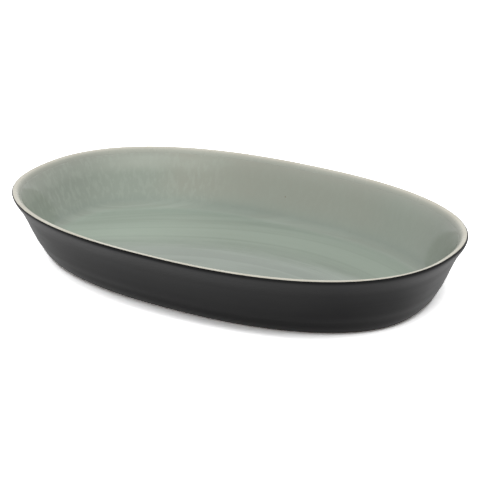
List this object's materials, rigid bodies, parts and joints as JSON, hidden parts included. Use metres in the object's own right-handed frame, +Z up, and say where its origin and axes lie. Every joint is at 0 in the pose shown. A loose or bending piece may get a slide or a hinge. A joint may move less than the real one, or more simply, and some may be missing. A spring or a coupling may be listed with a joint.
{
  "type": "ikebana suiban",
  "caption": "Wide, shallow oval stoneware basin with a flared lip, celadon inside and dark satin outside, that holds water and a pin holder for a flower arrangement.",
  "frame": {"origin": "middle of the underside of the foot, on the surface that the vessel stands on", "axes": "+X along the oval's length, +Y along its width, +Z up out of the basin"},
  "size_m": [0.4, 0.252, 0.0555],
  "materials": {
    "stoneware": "fired unglazed dark stoneware, fine grain, matte",
    "celadon_glaze": "glossy grey-green celadon, pooled, with faint clouding and iron specks",
    "dark_glaze": "satin charcoal black, faint level brush lines",
    "cream_glaze": "satin cream where the glaze thins over the lip"
  },
  "bodies": {
    "root": {"clay_body": "stoneware", "foot_ring": "stoneware", "inner_glaze": "celadon_glaze", "outer_glaze": "dark_glaze", "lip_glaze": "cream_glaze", "base_glaze": "dark_glaze"}
  },
  "joints": []
}
